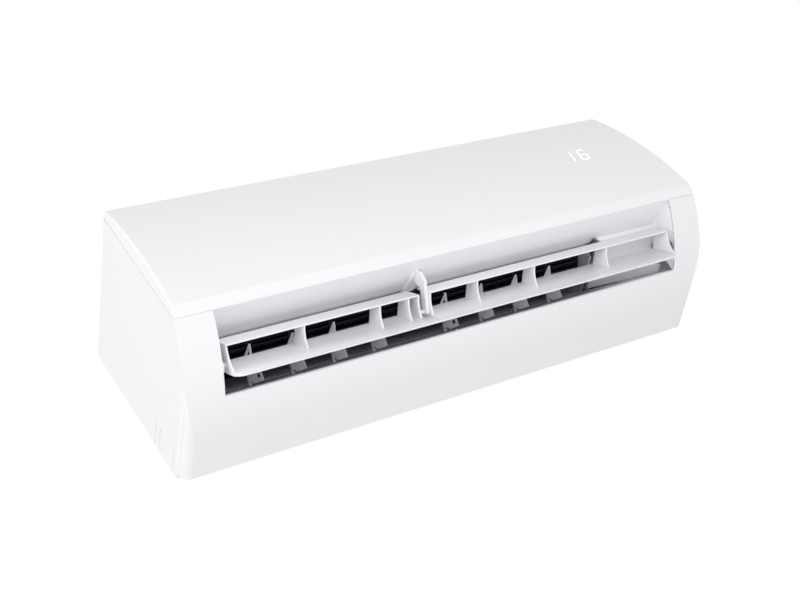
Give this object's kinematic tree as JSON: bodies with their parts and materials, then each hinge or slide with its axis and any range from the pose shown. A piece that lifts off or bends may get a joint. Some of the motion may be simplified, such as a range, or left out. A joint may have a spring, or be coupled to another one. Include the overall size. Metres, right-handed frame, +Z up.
{
  "type": "mini split indoor unit",
  "caption": "Wall-hung split air conditioner indoor unit with hinged front panel, swinging louver, vanes, cross-flow fan, coil, filters and wall plate.",
  "frame": {"origin": "centre of the wall plate's four screw holes, on the wall plane", "axes": "+X to the right along the unit as seen from the room, +Y into the wall, +Z up"},
  "size_m": [0.7754, 0.2096, 0.255],
  "materials": {
    "casing_plastic": "moulded white plastic, satin gloss",
    "panel_plastic": "moulded white plastic, satin gloss",
    "display_light": "white light bars behind thin plastic",
    "louver_plastic": "moulded white plastic, satin gloss",
    "vane_plastic": "moulded grey plastic",
    "duct_plastic": "dark moulded plastic",
    "pan_plastic": "moulded foam-backed plastic",
    "fan_plastic": "glass-filled black plastic",
    "pin_plastic": "slippery white plastic",
    "rubber": "soft black rubber",
    "foam": "closed-cell foam",
    "fins": "coated thin fins",
    "copper": "bright drawn copper",
    "nut_brass": "machined brass",
    "zinc_steel": "zinc-plated sheet steel",
    "steel": "turned steel",
    "motor_paint": "black paint on pressed steel",
    "stepper_metal": "plated pressed steel",
    "net": "fine woven net",
    "filter_plastic": "flexible plastic",
    "board": "coated circuit board",
    "board_parts": "moulded component bodies",
    "terminal_plastic": "heat-resistant plastic",
    "display_plastic": "white module housing"
  },
  "bodies": {
    "wall_plate": {"mounting_plate": "zinc_steel"},
    "unit": {"front_casing": "casing_plastic", "chassis": "duct_plastic", "outlet_frame": "casing_plastic", "duct_side_right": "casing_plastic", "drain_pan": "pan_plastic", "screws": "steel", "louver_bush": "pin_plastic", "louver_motor": "stepper_metal", "louver_centre_bracket": "casing_plastic", "vane_strips": "duct_plastic", "fan_bearing": "rubber", "bearing_mount": "rubber", "fan_motor": "motor_paint", "motor_rings": "rubber", "motor_clamp": "pan_plastic", "coil_front": "fins", "coil_upper": "fins", "coil_rear": "fins", "coil_end_plates": "zinc_steel", "coil_return_bends": "copper", "gas_pipe": "copper", "liquid_pipe": "copper", "gas_pipe_sleeve": "foam", "liquid_pipe_sleeve": "foam", "flare_nuts": "nut_brass", "pipe_clamp": "pan_plastic", "filter_guides": "casing_plastic", "electrical_box": "terminal_plastic", "electrical_box_cover": "zinc_steel", "control_board": "board", "control_board_parts": "board_parts", "terminal_block": "terminal_plastic", "display_board": "board", "display_board_parts": "display_plastic"},
    "front_panel": {"front_panel": "panel_plastic", "display_digits": "display_light"},
    "louver": {"louver_blade": "louver_plastic", "louver_deflector": "louver_plastic", "louver_ribs": "louver_plastic", "louver_pins": "pin_plastic", "louver_shaft": "steel"},
    "fan": {"fan_rotor": "fan_plastic", "fan_stub_shaft": "steel", "motor_shaft": "steel"},
    "vane_1": {"vane_1": "vane_plastic"},
    "vane_2": {"vane_2": "vane_plastic"},
    "vane_3": {"vane_3": "vane_plastic"},
    "vane_4": {"vane_4": "vane_plastic"},
    "vane_5": {"vane_5": "vane_plastic"},
    "vane_6": {"vane_6": "vane_plastic"},
    "vane_7": {"vane_7": "vane_plastic"},
    "vane_8": {"vane_8": "vane_plastic"},
    "vane_link_left": {"vane_link_left": "vane_plastic"},
    "vane_link_right": {"vane_link_right": "vane_plastic"},
    "filter_left": {"filter_frame_left": "filter_plastic", "filter_net_left": "net"},
    "filter_right": {"filter_frame_right": "filter_plastic", "filter_net_right": "net"},
    "manual_button": {"manual_button": "casing_plastic"}
  },
  "joints": [
    {"name": "lift_off", "type": "slide", "parent": "wall_plate", "child": "unit", "axis": [0, 0, 1], "range_m": [0, 0.012]},
    {"name": "panel_hinge", "type": "hinge", "parent": "unit", "child": "front_panel", "pos_m": [0, -0.1944, 0.0866], "axis": [-1, 0, 0], "range_deg": [0, 60]},
    {"name": "louver_swing", "type": "hinge", "parent": "unit", "child": "louver", "pos_m": [0, -0.128, -0.1365], "axis": [1, 0, 0], "range_deg": [-90, 8]},
    {"name": "fan_spin", "type": "hinge", "parent": "unit", "child": "fan", "pos_m": [0, -0.088, -0.046], "axis": [1, 0, 0], "continuous": true},
    {"name": "vane_1_swing", "type": "hinge", "parent": "unit", "child": "vane_1", "pos_m": [-0.2865, -0.07628, -0.1229], "axis": [0, -0.7867, 0.6173], "range_deg": [-65, 5]},
    {"name": "vane_2_swing", "type": "hinge", "parent": "unit", "child": "vane_2", "pos_m": [-0.2311, -0.07628, -0.1229], "axis": [0, -0.7867, 0.6173], "range_deg": [-65, 5]},
    {"name": "vane_3_swing", "type": "hinge", "parent": "unit", "child": "vane_3", "pos_m": [-0.1757, -0.07628, -0.1229], "axis": [0, -0.7867, 0.6173], "range_deg": [-65, 5]},
    {"name": "vane_4_swing", "type": "hinge", "parent": "unit", "child": "vane_4", "pos_m": [-0.1203, -0.07628, -0.1229], "axis": [0, -0.7867, 0.6173], "range_deg": [-65, 5]},
    {"name": "vane_link_left_pivot", "type": "hinge", "parent": "vane_1", "child": "vane_link_left", "pos_m": [-0.28125, -0.09802, -0.1174], "axis": [0, -0.7867, 0.6173], "range_deg": [-5, 65]},
    {"name": "vane_5_swing", "type": "hinge", "parent": "unit", "child": "vane_5", "pos_m": [-0.015, -0.07628, -0.1229], "axis": [0, -0.7867, 0.6173], "range_deg": [-65, 5]},
    {"name": "vane_6_swing", "type": "hinge", "parent": "unit", "child": "vane_6", "pos_m": [0.0404, -0.07628, -0.1229], "axis": [0, -0.7867, 0.6173], "range_deg": [-65, 5]},
    {"name": "vane_7_swing", "type": "hinge", "parent": "unit", "child": "vane_7", "pos_m": [0.0958, -0.07628, -0.1229], "axis": [0, -0.7867, 0.6173], "range_deg": [-65, 5]},
    {"name": "vane_8_swing", "type": "hinge", "parent": "unit", "child": "vane_8", "pos_m": [0.1512, -0.07628, -0.1229], "axis": [0, -0.7867, 0.6173], "range_deg": [-65, 5]},
    {"name": "vane_link_right_pivot", "type": "hinge", "parent": "vane_5", "child": "vane_link_right", "pos_m": [-0.00975, -0.09802, -0.1174], "axis": [0, -0.7867, 0.6173], "range_deg": [-5, 65]},
    {"name": "filter_left_slide", "type": "slide", "parent": "unit", "child": "filter_left", "axis": [0, 0, 1], "range_m": [0, 0.16]},
    {"name": "filter_right_slide", "type": "slide", "parent": "unit", "child": "filter_right", "axis": [0, 0, 1], "range_m": [0, 0.16]},
    {"name": "button_press", "type": "slide", "parent": "unit", "child": "manual_button", "axis": [0, 1, 0], "range_m": [0, 0.0015], "stiffness_N_per_m": 600, "springref_m": -0.001}
  ],
  "couplings": [
    {"joint": "vane_2_swing", "follows": "vane_1_swing", "ratio": 1},
    {"joint": "vane_3_swing", "follows": "vane_1_swing", "ratio": 1},
    {"joint": "vane_4_swing", "follows": "vane_1_swing", "ratio": 1},
    {"joint": "vane_link_left_pivot", "follows": "vane_1_swing", "ratio": -1},
    {"joint": "vane_6_swing", "follows": "vane_5_swing", "ratio": 1},
    {"joint": "vane_7_swing", "follows": "vane_5_swing", "ratio": 1},
    {"joint": "vane_8_swing", "follows": "vane_5_swing", "ratio": 1},
    {"joint": "vane_link_right_pivot", "follows": "vane_5_swing", "ratio": -1}
  ]
}
